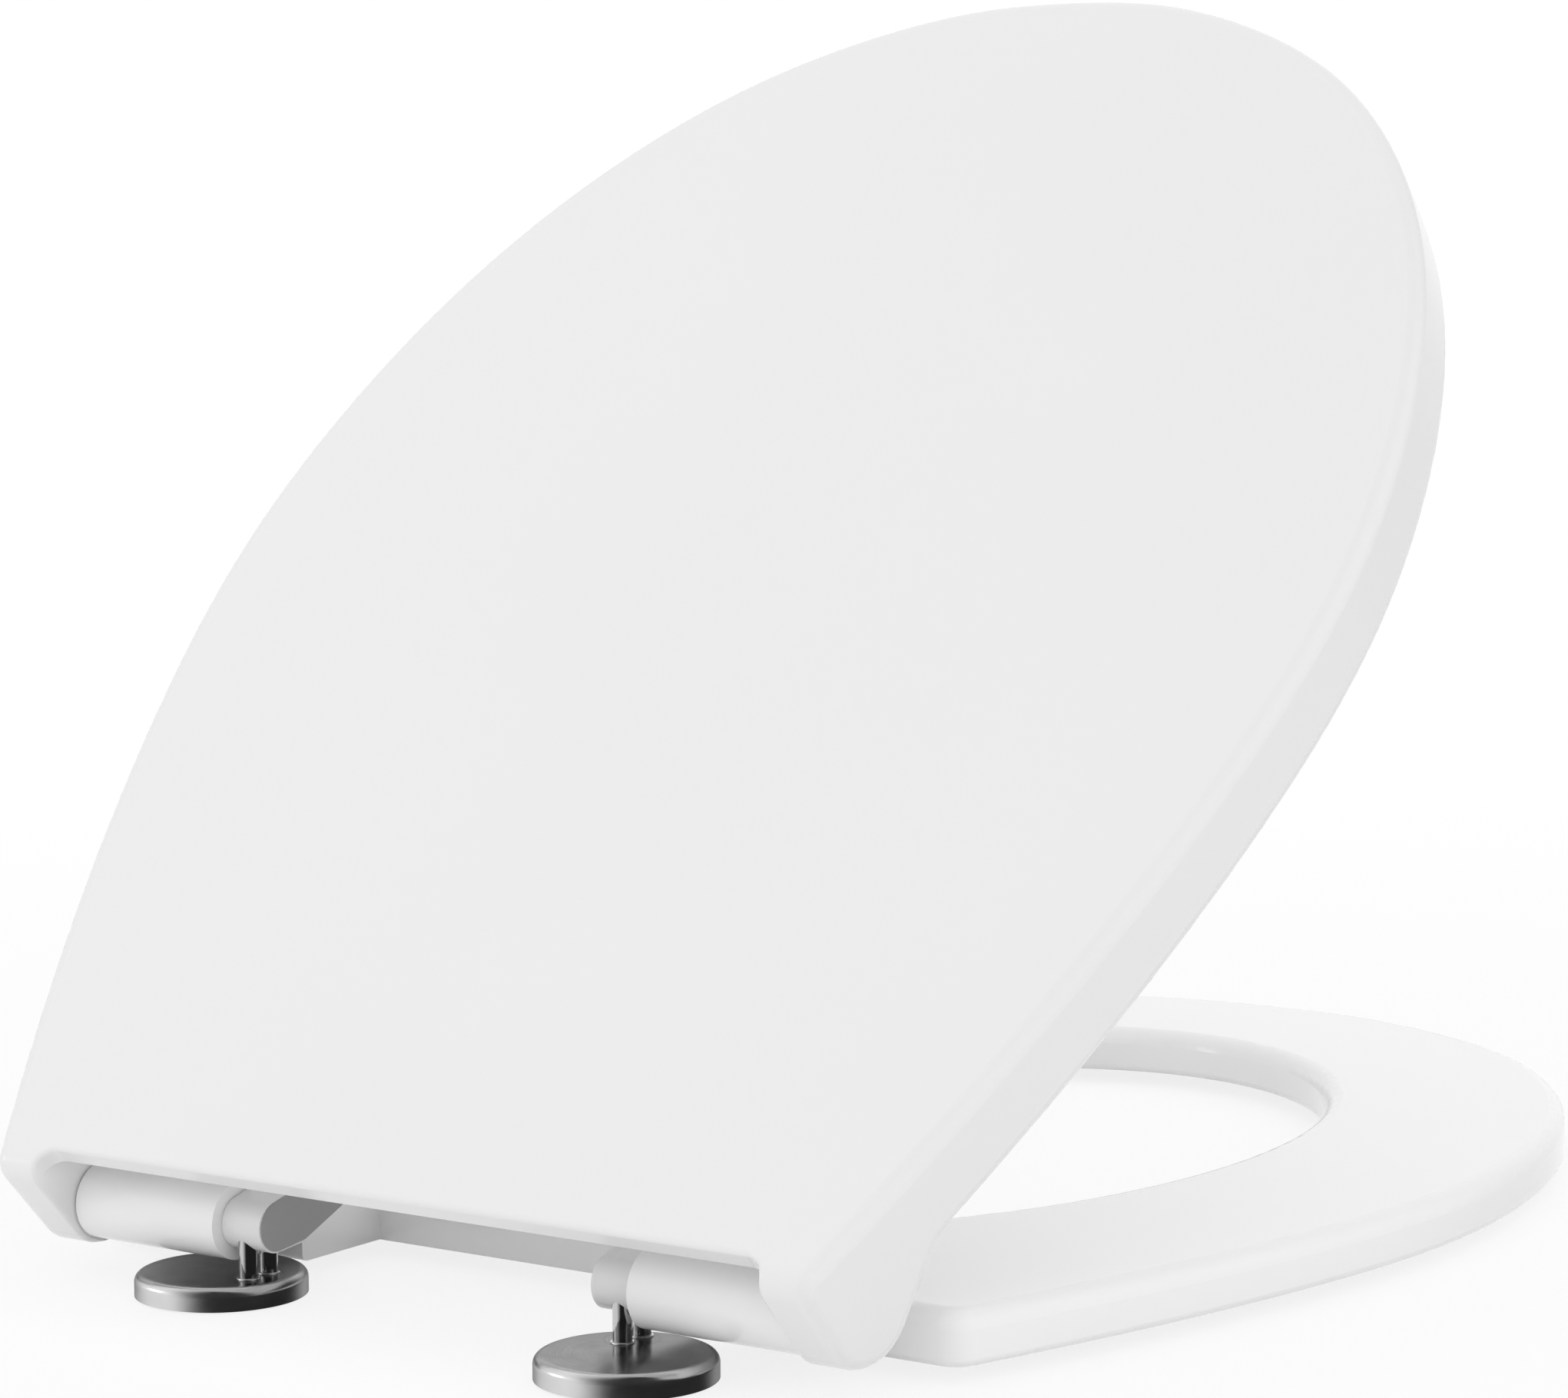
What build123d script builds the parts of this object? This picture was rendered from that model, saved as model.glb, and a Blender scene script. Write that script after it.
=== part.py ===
from build123d import *
from math import cos, radians, sin, tan
import os

os.makedirs("parts", exist_ok=True)

# Overall layout: hinge axis along X, front of the seat towards -Y, bowl rim at z = 0
# The origin is the middle of the footprint, so the hinge axis lies behind it at y = hinge_y
hinge_z = 20.5
lid_open = 43.0
run_fit = 0.05
push_fit = 0.02
side_gap = 0.6

# Plan outline shared by lid and ring
seat_width = 370.0
seat_length = 457.0
rear_width = 259.0
wide_y = -215.0
side_power = 1.58
front_power = 2.12
side_steps = 4
front_steps = 6

# Lid, heights measured from the hinge axis with the lid closed
lid_top = 28.3
lid_rim = 3.5
lid_face = 5.5
lid_wall = 6.0
lid_edge_r = 4.0
ear_r = 12.0
ear_width = 13.0
ear_inner_x = rear_width / 2 - ear_width
ear_bend_r = 6.0
ear_slope = 36.0
ear_blend_r = 8.0
ear_front_y = -29.0
notch_y = 3.8
notch_corner_r = 6.0
notch_edge_r = 1.4
boss_r = 7.0
boss_rear_y = -140.0
boss_rear_margin = 35.0
boss_front_gap = 87.0
boss_front_margin = 85.0
boss_points = [
    (seat_width / 2 - boss_rear_margin, boss_rear_y),
    (seat_width / 2 - boss_front_margin, boss_front_gap - seat_length),
]
bumper_r = 5.0
bumper_gap = 0.2
stem_length = 6.0
stem_gap = 0.2
lid_stem_r = 2.0

# Ring
ring_inset = 3.0
ring_front_gap = 1.0
ring_top = 18.6
ring_bottom = 4.3
ring_rear_y = -25.5
ring_notch_y = -58.0
ring_corner_r = 8.0
ring_top_r = 5.0
ring_bottom_r = 2.0
hole_side_margin = 75.0
hole_front_margin = 69.0
hole_rear_y = -96.0
hole_cut = 32.0
hole_corner_r = 42.0
foot_r = 9.0
foot_edge_r = 1.5
foot_rear_y = -95.0
foot_rear_margin = 60.0
foot_front_gap = 49.0
foot_front_margin = 105.0
foot_points = [
    (seat_width / 2 - foot_rear_margin, foot_rear_y),
    (seat_width / 2 - foot_front_margin, foot_front_gap - seat_length),
]
foot_stem_r = 2.5

# Lugs, hinge bodies and dampers along the hinge axis, distances from the middle plane
body_inner_x = 54.0
body_outer_x = 66.7
body_r = 7.0
belly_y = -9.0
belly_z = 1.5
belly_r = 7.7
nose_y = -26.0
nose_z = 6.0
nose_r = 5.0
spigot_end_x = 75.0
spigot_r = 6.7
lug_inner_x = body_outer_x + side_gap
lug_outer_x = ear_inner_x - side_gap
lug_r = 10.4
arm_y = -44.0
key_size = 7.0
key_depth = 4.5
key_gap = 0.1
sleeve_wall = 1.4
sleeve_inset = 1.0
housing_recess = 4.4
housing_end_x = lug_outer_x - housing_recess
cavity_r = 5.5
cavity_floor = 3.0
rotor_r = 4.6
rotor_gap = 1.0
collar_length = 6.0
tongue_r = 4.0
tongue_flat = 5.8
tongue_depth = 10.5
tongue_end_x = ear_inner_x + tongue_depth
ring_housing_r = 8.3
ring_housing_flat = 13.6
ring_housing_x = spigot_end_x + side_gap
pivot_r = 4.0
pivot_depth = 7.4
pivot_start_x = lug_outer_x - pivot_depth

# Fittings on the bowl
disc_r = 23.0
disc_top = 6.4
disc_edge_r = 2.4
disc_wall = 1.0
disc_lift = 0.3
pad_top = 1.0
insert_gap = 0.1
thread_r = 3.4
plate_r = 7.0
plate_margin = 2.0
plate_lift = 0.2
pin_r = 2.5
pin_x = 61.0
pin_mid_y = -0.5
pin_pitch = 8.0
pin_bottom = 2.4
pin_top = 20.5
pin_tip = 0.6
bore_room = 1.0
eccentric = disc_r - disc_wall - plate_r - plate_margin
disc_turn = {"left": 0.0, "right": 120.0}

sides = {"left": 1, "right": -1}
pin_points = {"rear": pin_mid_y + pin_pitch / 2, "front": pin_mid_y - pin_pitch / 2}
disc_reach = eccentric * max(sin(radians(turn)) for turn in disc_turn.values())
rear_reach = pin_mid_y + disc_reach + disc_r
hinge_y = (seat_length - ring_front_gap - rear_reach) / 2

floor = Plane(origin=(0, hinge_y, 0))
lid_sin = sin(radians(lid_open))
lid_cos = cos(radians(lid_open))
lid_plane = Plane(origin=(0, hinge_y, hinge_z), x_dir=(1, 0, 0), z_dir=(0, lid_sin, lid_cos))
lid_up = Axis((0, 0, 0), (0, lid_sin, lid_cos))


def cross_plane(x, of_lid=False):
    """Plane across the hinge axis at x: local x runs rearwards, local y upwards."""
    rear = (0, lid_cos, -lid_sin) if of_lid else (0, 1, 0)
    return Plane(origin=(x, hinge_y, hinge_z), x_dir=rear, z_dir=(1, 0, 0))


def half_outline(inset, front_gap, rear_y):
    """Points of one side of the egg-shaped outline, from the rear corner to the front tip."""
    half = seat_width / 2 - inset
    taper = (seat_width - rear_width) / 2
    reach = ear_r - wide_y
    points = []
    for step in range(side_steps):
        y = rear_y + (wide_y - rear_y) * step / side_steps
        points.append((half - taper * ((y - wide_y) / reach) ** side_power, y))
    for step in range(front_steps + 1):
        turn = radians(90.0 * step / front_steps)
        x = half * max(cos(turn), 0.0) ** (2 / front_power)
        depth = (seat_length - front_gap + wide_y) * sin(turn) ** (2 / front_power)
        points.append((x, wide_y - depth))
    points[-1] = (0.0, points[-1][1])
    return points


def rear_slope(rear_y):
    """Direction of the side at the rear corner, pointing forwards."""
    taper = (seat_width - rear_width) / 2
    reach = ear_r - wide_y
    slope = taper * side_power / reach * ((rear_y - wide_y) / reach) ** (side_power - 1)
    return (slope, -1.0)


def egg(inset, front_gap, rear_y):
    """Egg-shaped sketch with a straight rear edge."""
    points = half_outline(inset, front_gap, rear_y)
    with BuildSketch() as shape:
        with BuildLine():
            Spline(*points, tangents=[rear_slope(rear_y), (-1.0, 0.0)])
            mirror(about=Plane.YZ)
            Line(points[0], (-points[0][0], points[0][1]))
        make_face()
    return shape.sketch


def ring_hole():
    """Egg-shaped hole of the ring: an ellipse cut short at the rear, with rounded corners there."""
    half_width = seat_width / 2 - hole_side_margin
    tip_y = hole_front_margin - seat_length
    half_length = (hole_rear_y + hole_cut - tip_y) / 2
    with BuildSketch() as shape:
        with Locations((0, tip_y + half_length)):
            Ellipse(half_width, half_length)
        with Locations((0, hole_rear_y - seat_length)):
            Rectangle(seat_width, 2 * seat_length, mode=Mode.INTERSECT)
        fillet(shape.vertices().sort_by(Axis.Y)[-2:], radius=hole_corner_r)
    return shape.sketch


# Lid: plan outline and side profile crossed, then hollowed from below
slope = radians(ear_slope)
lobe_end = (-ear_r * sin(slope), -ear_r * cos(slope))
corner_y = lobe_end[0] - (lid_rim - lobe_end[1]) / tan(slope)
blend_y = corner_y - ear_blend_r * tan(slope / 2)
blend_z = lid_rim - ear_blend_r
blend_start = (blend_y + ear_blend_r * sin(slope), blend_z + ear_blend_r * cos(slope))
lid_rear = ear_r + lid_wall
lid_front = -seat_length - lid_wall

with BuildPart() as lid:
    with BuildSketch(lid_plane.offset(-ear_r - lid_wall)):
        add(egg(0.0, 0.0, lid_rear))
    extrude(amount=lid_top + 2 * ear_r + lid_wall)
    with BuildSketch(cross_plane(-seat_width, of_lid=True)):
        with BuildLine():
            Line((lid_front, lid_top), (ear_r - ear_bend_r, lid_top))
            CenterArc((ear_r - ear_bend_r, lid_top - ear_bend_r), ear_bend_r, 90, -90)
            Line((ear_r, lid_top - ear_bend_r), (ear_r, 0))
            CenterArc((0, 0), ear_r, 0, -90 - ear_slope)
            Line(lobe_end, blend_start)
            CenterArc((blend_y, blend_z), ear_blend_r, 90 - ear_slope, ear_slope)
            Line((blend_y, lid_rim), (lid_front, lid_rim))
            Line((lid_front, lid_rim), (lid_front, lid_top))
        make_face()
    extrude(amount=2 * seat_width, mode=Mode.INTERSECT)
    walls = lid.faces().filter_by(GeomType.EXTRUSION)
    rims = walls.edges().filter_by(lid_up, reverse=True)
    fillet(rims, radius=lid_edge_r)
    with BuildSketch(lid_plane.offset(-2 * ear_r)):
        with Locations((0, (notch_y + 2 * lid_rear) / 2)):
            RectangleRounded(2 * ear_inner_x, 2 * lid_rear - notch_y, notch_corner_r)
    extrude(amount=lid_top + 3 * ear_r, mode=Mode.SUBTRACT)
    top_face = lid.faces().filter_by(lid_up).sort_by(lid_up)[-1]
    rear_edge = top_face.edges().filter_by(Axis.X).sort_by(SortBy.LENGTH)[-1]
    fillet(rear_edge, radius=notch_edge_r)
    with BuildSketch(lid_plane.offset(-2 * ear_r)):
        add(egg(lid_wall, lid_wall, ear_front_y))
        with Locations((0, ear_front_y)):
            Rectangle(2 * ear_inner_x, 2 * (lid_rear - ear_front_y))
    extrude(amount=lid_top - lid_face + 2 * ear_r, mode=Mode.SUBTRACT)
    for point_x, point_y in boss_points:
        with BuildSketch(lid_plane.offset(lid_rim)):
            with Locations((point_x, point_y), (-point_x, point_y)):
                Circle(boss_r)
        extrude(until=Until.NEXT)
        with BuildSketch(lid_plane.offset(lid_rim)):
            with Locations((point_x, point_y), (-point_x, point_y)):
                Circle(lid_stem_r + push_fit)
        extrude(amount=stem_length + stem_gap, mode=Mode.SUBTRACT)
    with BuildSketch(cross_plane(-ear_inner_x, of_lid=True)):
        Circle(tongue_r + push_fit)
        Rectangle(3 * tongue_r, tongue_flat + 2 * push_fit, mode=Mode.INTERSECT)
    extrude(amount=ear_inner_x - tongue_end_x - stem_gap, mode=Mode.SUBTRACT)
    with BuildSketch(cross_plane(ear_inner_x, of_lid=True)):
        Circle(pivot_r + push_fit)
    extrude(amount=tongue_end_x - ear_inner_x + stem_gap, mode=Mode.SUBTRACT)
lid.part.label = "lid"
export_step(lid.part, "parts/lid.step")

# Ring: rounded slab with the egg hole, a rear notch between the lugs, and the two lugs
with BuildPart() as seat_ring:
    with BuildSketch(floor.offset(ring_bottom)):
        add(egg(ring_inset, ring_front_gap, ring_rear_y))
        rear_corners = vertices().sort_by(Axis.Y)[-2:]
        fillet(rear_corners, radius=ring_corner_r)
        add(ring_hole(), mode=Mode.SUBTRACT)
    extrude(amount=ring_top - ring_bottom)
    fillet(faces().sort_by(Axis.Z)[-1].edges(), radius=ring_top_r)
    fillet(faces().sort_by(Axis.Z)[0].edges(), radius=ring_bottom_r)
    with BuildSketch(floor):
        with Locations((0, 0)):
            Rectangle(2 * lug_inner_x, -2 * ring_notch_y)
    extrude(amount=2 * ring_top, mode=Mode.SUBTRACT)
    arm_top = ring_top - ring_bottom_r - hinge_z
    for sign in sides.values():
        with BuildSketch(cross_plane(sign * lug_inner_x)):
            Circle(lug_r)
            with Locations((arm_y, (arm_top - lug_r) / 2)):
                Rectangle(ring_bottom_r, arm_top + lug_r)
            make_hull()
        extrude(amount=sign * (lug_outer_x - lug_inner_x))
    with BuildSketch(cross_plane(-lug_inner_x)):
        Circle(spigot_r + run_fit + sleeve_wall)
    extrude(amount=lug_inner_x - lug_outer_x, mode=Mode.SUBTRACT)
    with BuildSketch(cross_plane(lug_inner_x)):
        Circle(spigot_r + run_fit)
    extrude(amount=lug_outer_x - lug_inner_x, mode=Mode.SUBTRACT)
    with BuildSketch(cross_plane(spigot_end_x)):
        Circle(ring_housing_r + push_fit)
        Rectangle(3 * ring_housing_r, ring_housing_flat + 2 * push_fit, mode=Mode.INTERSECT)
    extrude(amount=lug_outer_x - spigot_end_x, mode=Mode.SUBTRACT)
    for point_x, point_y in foot_points:
        with BuildSketch(floor.offset(ring_bottom)):
            with Locations((point_x, point_y), (-point_x, point_y)):
                Circle(foot_stem_r + push_fit)
        extrude(amount=stem_length + stem_gap, mode=Mode.SUBTRACT)
seat_ring.part.label = "seat_ring"
export_step(seat_ring.part, "parts/seat_ring.step")

# Soft bumpers under the lid and under the ring
for end, (point_x, point_y) in zip(("rear", "front"), boss_points):
    for side, sign in sides.items():
        with BuildPart() as lid_bumper:
            with BuildSketch(lid_plane.offset(lid_rim)):
                with Locations((sign * point_x, point_y)):
                    Circle(bumper_r)
            extrude(amount=ring_top + bumper_gap - hinge_z - lid_rim)
            with BuildSketch(lid_plane.offset(lid_rim)):
                with Locations((sign * point_x, point_y)):
                    Circle(lid_stem_r)
            extrude(amount=stem_length)
        lid_bumper.part.label = f"lid_bumper_{end}_{side}"
        export_step(lid_bumper.part, f"parts/lid_bumper_{end}_{side}.step")

for end, (point_x, point_y) in zip(("rear", "front"), foot_points):
    for side, sign in sides.items():
        with BuildPart() as ring_foot:
            with BuildSketch(floor):
                with Locations((sign * point_x, point_y)):
                    Circle(foot_r)
            extrude(amount=ring_bottom)
            fillet(faces().sort_by(Axis.Z)[0].edges(), radius=foot_edge_r)
            with BuildSketch(floor.offset(ring_bottom)):
                with Locations((sign * point_x, point_y)):
                    Circle(foot_stem_r)
            extrude(amount=stem_length)
        ring_foot.part.label = f"ring_foot_{end}_{side}"
        export_step(ring_foot.part, f"parts/ring_foot_{end}_{side}.step")

# Hinge bodies: barrel with a full belly and a forward nose, spigot for the lug, bores for the two pins
for side, sign in sides.items():
    with BuildPart() as hinge_body:
        with BuildSketch(cross_plane(sign * body_inner_x)):
            Circle(body_r)
            with Locations((belly_y, belly_z)):
                Circle(belly_r)
            with Locations((nose_y, nose_z)):
                Circle(nose_r)
            make_hull()
        extrude(amount=sign * (body_outer_x - body_inner_x))
        with BuildSketch(cross_plane(sign * body_outer_x)):
            Circle(spigot_r)
        extrude(amount=sign * (spigot_end_x - body_outer_x))
        with BuildSketch(cross_plane(sign * spigot_end_x)):
            Rectangle(key_size, key_size)
        extrude(amount=-sign * key_depth, mode=Mode.SUBTRACT)
        with BuildSketch(floor.offset(disc_top)):
            with Locations(*[(sign * pin_x, pin_y) for pin_y in pin_points.values()]):
                Circle(pin_r + run_fit)
        extrude(amount=pin_top + bore_room - disc_top, mode=Mode.SUBTRACT)
    hinge_body.part.label = f"hinge_body_{side}"
    export_step(hinge_body.part, f"parts/hinge_body_{side}.step")

# Lid damper on the right: housing keyed to the hinge body, shaft keyed to the lid ear
key_tongue = key_size - 2 * key_gap

with BuildPart() as lid_damper_housing:
    with BuildSketch(cross_plane(-spigot_end_x)):
        Circle(spigot_r)
    extrude(amount=spigot_end_x - housing_end_x)
    with BuildSketch(cross_plane(-spigot_end_x)):
        Rectangle(key_tongue, key_tongue)
    extrude(amount=key_depth - stem_gap)
    with BuildSketch(cross_plane(-spigot_end_x - cavity_floor)):
        Circle(cavity_r)
    extrude(amount=spigot_end_x + cavity_floor - housing_end_x, mode=Mode.SUBTRACT)
lid_damper_housing.part.label = "lid_damper_housing"
export_step(lid_damper_housing.part, "parts/lid_damper_housing.step")

with BuildPart() as lid_damper_shaft:
    with BuildSketch(cross_plane(-spigot_end_x - cavity_floor - rotor_gap, of_lid=True)):
        Circle(rotor_r)
    extrude(amount=spigot_end_x + cavity_floor + rotor_gap - housing_end_x)
    with BuildSketch(cross_plane(collar_length - housing_end_x, of_lid=True)):
        Circle(cavity_r - run_fit)
    extrude(amount=-collar_length)
    with BuildSketch(cross_plane(-housing_end_x, of_lid=True)):
        Circle(tongue_r)
        Rectangle(3 * tongue_r, tongue_flat, mode=Mode.INTERSECT)
    extrude(amount=housing_end_x - tongue_end_x)
lid_damper_shaft.part.label = "lid_damper_shaft"
export_step(lid_damper_shaft.part, "parts/lid_damper_shaft.step")

with BuildPart() as lug_sleeve:
    with BuildSketch(cross_plane(-lug_inner_x - sleeve_inset)):
        Circle(spigot_r + run_fit + sleeve_wall - push_fit)
        Circle(spigot_r + run_fit, mode=Mode.SUBTRACT)
    extrude(amount=lug_inner_x + 2 * sleeve_inset - lug_outer_x)
lug_sleeve.part.label = "lug_sleeve"
export_step(lug_sleeve.part, "parts/lug_sleeve.step")

# Ring damper on the left: housing keyed in the lug, shaft keyed to the hinge body
with BuildPart() as ring_damper_housing:
    with BuildSketch(cross_plane(ring_housing_x)):
        Circle(ring_housing_r)
        Rectangle(3 * ring_housing_r, ring_housing_flat, mode=Mode.INTERSECT)
    extrude(amount=lug_outer_x - ring_housing_x)
    with BuildSketch(cross_plane(ring_housing_x)):
        Circle(cavity_r)
    extrude(amount=pivot_start_x - cavity_floor - ring_housing_x, mode=Mode.SUBTRACT)
    with BuildSketch(cross_plane(pivot_start_x - rotor_gap)):
        Circle(pivot_r + run_fit)
    extrude(amount=lug_outer_x - pivot_start_x + rotor_gap, mode=Mode.SUBTRACT)
ring_damper_housing.part.label = "ring_damper_housing"
export_step(ring_damper_housing.part, "parts/ring_damper_housing.step")

with BuildPart() as ring_damper_shaft:
    with BuildSketch(cross_plane(spigot_end_x)):
        Rectangle(key_tongue, key_tongue)
    extrude(amount=stem_gap - key_depth)
    with BuildSketch(cross_plane(spigot_end_x)):
        Circle(cavity_r - run_fit)
    extrude(amount=collar_length)
    with BuildSketch(cross_plane(spigot_end_x + collar_length)):
        Circle(rotor_r)
    extrude(amount=pivot_start_x - cavity_floor - rotor_gap - spigot_end_x - collar_length)
ring_damper_shaft.part.label = "ring_damper_shaft"
export_step(ring_damper_shaft.part, "parts/ring_damper_shaft.step")

with BuildPart() as lid_pivot:
    with BuildSketch(cross_plane(pivot_start_x, of_lid=True)):
        Circle(pivot_r)
    extrude(amount=tongue_end_x - pivot_start_x)
lid_pivot.part.label = "lid_pivot"
export_step(lid_pivot.part, "parts/lid_pivot.step")

# Fittings: pins in a round plate, the plate off-centre in a capped disc that turns round it
for side, sign in sides.items():
    plate_x = sign * pin_x
    disc_x = plate_x + eccentric * cos(radians(disc_turn[side]))
    disc_y = pin_mid_y + eccentric * sin(radians(disc_turn[side]))
    inner_r = disc_r - disc_wall
    roof = disc_top - disc_wall

    with BuildPart() as base_disc:
        with BuildSketch(floor.offset(disc_lift)):
            with Locations((disc_x, disc_y)):
                Circle(disc_r)
        extrude(amount=disc_top - disc_lift)
        fillet(faces().sort_by(Axis.Z)[-1].edges(), radius=disc_edge_r)
        with BuildPart(mode=Mode.SUBTRACT):
            with BuildSketch(floor.offset(disc_lift)):
                with Locations((disc_x, disc_y)):
                    Circle(inner_r)
            extrude(amount=roof - disc_lift)
            fillet(faces().sort_by(Axis.Z)[-1].edges(), radius=disc_edge_r - disc_wall)
        with BuildSketch(floor):
            with Locations((plate_x, pin_mid_y)):
                Circle(plate_r + run_fit)
        extrude(amount=2 * disc_top, mode=Mode.SUBTRACT)
    base_disc.part.label = f"base_disc_{side}"
    export_step(base_disc.part, f"parts/base_disc_{side}.step")

    with BuildPart() as base_insert:
        with BuildSketch(floor.offset(pad_top)):
            with Locations((disc_x, disc_y)):
                Circle(inner_r - insert_gap)
        extrude(amount=roof - pad_top)
        fillet(faces().sort_by(Axis.Z)[-1].edges(), radius=disc_edge_r - disc_wall)
        with BuildSketch(floor):
            with Locations((plate_x, pin_mid_y)):
                Circle(plate_r + run_fit)
            with Locations((disc_x, disc_y)):
                Circle(thread_r)
        extrude(amount=disc_top, mode=Mode.SUBTRACT)
    base_insert.part.label = f"base_insert_{side}"
    export_step(base_insert.part, f"parts/base_insert_{side}.step")

    with BuildPart() as base_pad:
        with BuildSketch(floor):
            with Locations((disc_x, disc_y)):
                Circle(inner_r - insert_gap)
                Circle(thread_r + disc_wall, mode=Mode.SUBTRACT)
        extrude(amount=pad_top)
    base_pad.part.label = f"base_pad_{side}"
    export_step(base_pad.part, f"parts/base_pad_{side}.step")

    with BuildPart() as pin_plate:
        with BuildSketch(floor.offset(pad_top + plate_lift)):
            with Locations((plate_x, pin_mid_y)):
                Circle(plate_r)
        extrude(amount=disc_top - pad_top - plate_lift)
        with BuildSketch(floor.offset(pin_bottom)):
            with Locations(*[(plate_x, pin_y) for pin_y in pin_points.values()]):
                Circle(pin_r + push_fit)
        extrude(amount=disc_top, mode=Mode.SUBTRACT)
    pin_plate.part.label = f"pin_plate_{side}"
    export_step(pin_plate.part, f"parts/pin_plate_{side}.step")

    for end, pin_y in pin_points.items():
        with BuildPart() as pin:
            with BuildSketch(floor.offset(pin_bottom)):
                with Locations((plate_x, pin_y)):
                    Circle(pin_r)
            extrude(amount=pin_top - pin_bottom)
            chamfer(faces().sort_by(Axis.Z)[-1].edges(), length=pin_tip)
        pin.part.label = f"pin_{side}_{end}"
        export_step(pin.part, f"parts/pin_{side}_{end}.step")
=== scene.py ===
from math import cos, radians, sin

import bmesh
import bpy
from mathutils import Matrix, Vector


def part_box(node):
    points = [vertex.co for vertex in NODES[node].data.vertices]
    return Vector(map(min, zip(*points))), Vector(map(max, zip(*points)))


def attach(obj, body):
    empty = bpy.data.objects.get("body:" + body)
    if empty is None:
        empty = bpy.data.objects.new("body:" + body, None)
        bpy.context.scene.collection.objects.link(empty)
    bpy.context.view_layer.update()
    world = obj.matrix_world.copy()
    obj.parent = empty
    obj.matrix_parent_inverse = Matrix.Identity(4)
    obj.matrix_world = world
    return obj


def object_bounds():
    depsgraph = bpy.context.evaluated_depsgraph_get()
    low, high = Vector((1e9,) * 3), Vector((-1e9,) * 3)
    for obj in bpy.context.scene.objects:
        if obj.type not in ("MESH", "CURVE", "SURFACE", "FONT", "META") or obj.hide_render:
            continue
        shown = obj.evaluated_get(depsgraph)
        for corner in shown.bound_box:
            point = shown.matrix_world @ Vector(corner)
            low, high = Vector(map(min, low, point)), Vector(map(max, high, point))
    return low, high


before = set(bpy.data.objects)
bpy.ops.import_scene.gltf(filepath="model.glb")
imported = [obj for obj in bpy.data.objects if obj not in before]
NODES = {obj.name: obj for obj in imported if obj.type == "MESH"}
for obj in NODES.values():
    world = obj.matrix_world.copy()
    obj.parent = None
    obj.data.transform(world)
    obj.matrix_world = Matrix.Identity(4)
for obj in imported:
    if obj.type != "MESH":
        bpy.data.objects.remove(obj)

bl_info = {
    "name": "Toilet lid and ring finish",
    "version": (1, 0, 0),
    "blender": (4, 5, 0),
    "location": "View3D > Sidebar > Bathroom",
    "description": "Finishes the lid, ring, hinges and fittings and sets the studio",
    "category": "Object",
}

CAD_BOX = [list(corner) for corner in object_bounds()]
SIDES = ("left", "right")
ENDS = ("rear", "front")
WHITE = (1.0, 1.0, 1.0, 1.0)

# Relief of the finishes, and how far highlights spread across the brush lines
SKIN_DEPTH = 0.0002
BRUSH_DEPTH, BRUSH_RELIEF = 0.00005, 0.06
BRUSH_SPREAD = 0.7

# Steps of a collar, round the pin and round its rolled section
COLLAR_STEPS, ROLL_STEPS = 48, 12

# Vertices this close to a hinge body's end lie on it, and are told apart to so many digits
END_TOLERANCE, END_DIGITS = 1e-6, 6

# Floor, and how white the camera sees it from beside the part to far away
FLOOR_RADIUS, FLOOR_STEPS, FLOOR_DROP = 6.0, 96, 0.0002
FLOOR_ROUGHNESS = 0.8
SHADOW_REACH, SHADOW_WHITES = (0.3, 1.1), (0.82, 1.0)

# The side that each sweep of light brightens towards, and where along it the change lies
FILL_SIDE, FILL_REACH = (-1.0, -0.1, 0.0), (-1.0, 1.0)
WHITE_SIDE, WHITE_REACH = (0.95, -0.12, -0.2), (-0.4, 0.5)

# Lamps: name, place, point that it faces, size, watts
LAMPS = (("soft_top", (0.4, 0.5, 1.5), (0.0, 0.0, 0.1), 1.0, 0.3),
         ("soft_left", (1.1, 0.9, 0.3), (0.0, 0.2, 0.05), 0.35, 0.8))

# Camera, fitted to the outline of the lid and the ring: place, degrees, shift and sensor
CAMERA_PLACE = (-0.671513, 1.040883, 0.268041)
CAMERA_TURN, CAMERA_RISE, CAMERA_ROLL = 214.426, 5.651, -0.255
CAMERA_SHIFT = (0.0105, -0.0018)
SENSOR_WIDTH = 36.0


def middle(node):
    """Middle of a node's box."""
    low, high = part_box(node)
    return (low + high) / 2


def put(name, data):
    """New object, linked to the scene."""
    thing = bpy.data.objects.new(name, data)
    bpy.context.collection.objects.link(thing)
    return thing


# Settings


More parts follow.
